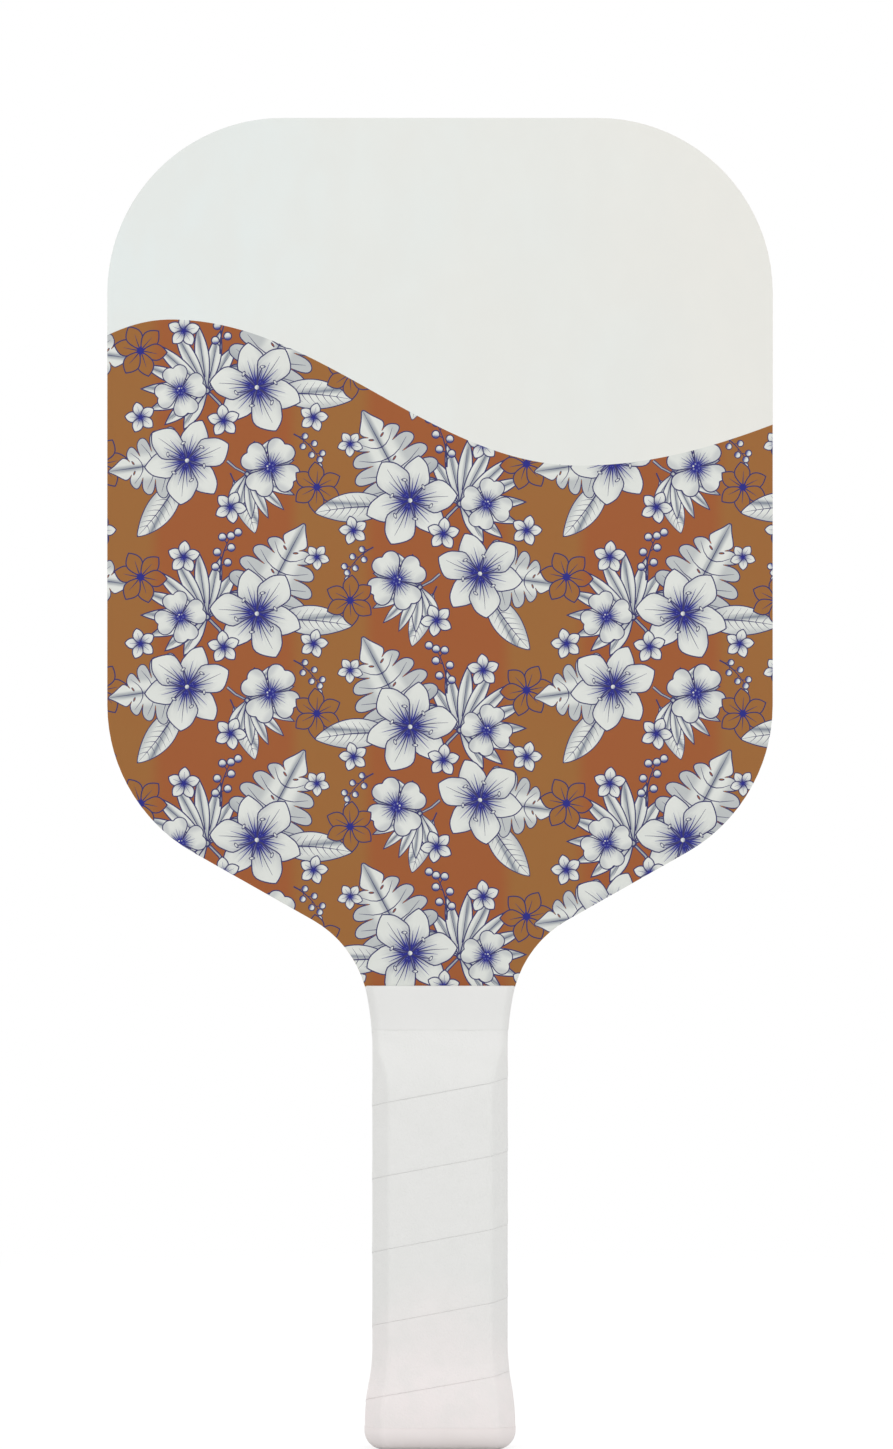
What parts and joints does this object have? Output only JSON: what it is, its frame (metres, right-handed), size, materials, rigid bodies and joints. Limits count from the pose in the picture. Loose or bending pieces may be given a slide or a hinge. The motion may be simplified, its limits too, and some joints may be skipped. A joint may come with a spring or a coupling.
{
  "type": "pickleball paddle",
  "caption": "Flat wide-body paddle: layered board with printed faces, sloped shoulders and a padded straight grip with a flared butt.",
  "frame": {"origin": "middle of the butt's end face", "axes": "+Z from the butt up the handle to the head, -Y out of the front face, +X to the right seen from the front"},
  "size_m": [0.2, 0.0286, 0.4],
  "materials": {
    "face_veneer": "fine sanded hardwood veneer, edge sealed",
    "crossband": "end-grain veneer at the edge, sealed",
    "inner_ply": "long-grain veneer at the edge, sealed",
    "print_film": "satin printed face film",
    "scale_wood": "bare sanded wood",
    "fastener_steel": "plain wire steel",
    "cap_plastic": "moulded, slightly textured",
    "plug_plastic": "moulded, smooth",
    "base_tape": "woven double-sided tape",
    "grip_cushion": "soft tacky polyurethane, finely grained",
    "finishing_tape": "smooth vinyl tape"
  },
  "bodies": {
    "root": {"front_face_veneer": "face_veneer", "front_crossband": "crossband", "front_inner_ply": "inner_ply", "core_ply": "crossband", "rear_inner_ply": "inner_ply", "rear_crossband": "crossband", "rear_face_veneer": "face_veneer", "front_print_film": "print_film", "rear_print_film": "print_film", "front_handle_scale": "scale_wood", "rear_handle_scale": "scale_wood", "handle_brads": "fastener_steel", "butt_cap": "cap_plastic", "butt_cap_tacks": "fastener_steel", "butt_cap_plug": "plug_plastic", "grip_base_tape": "base_tape", "grip_wrap": "grip_cushion", "grip_start_staple": "fastener_steel", "finishing_tape": "finishing_tape"}
  },
  "joints": []
}
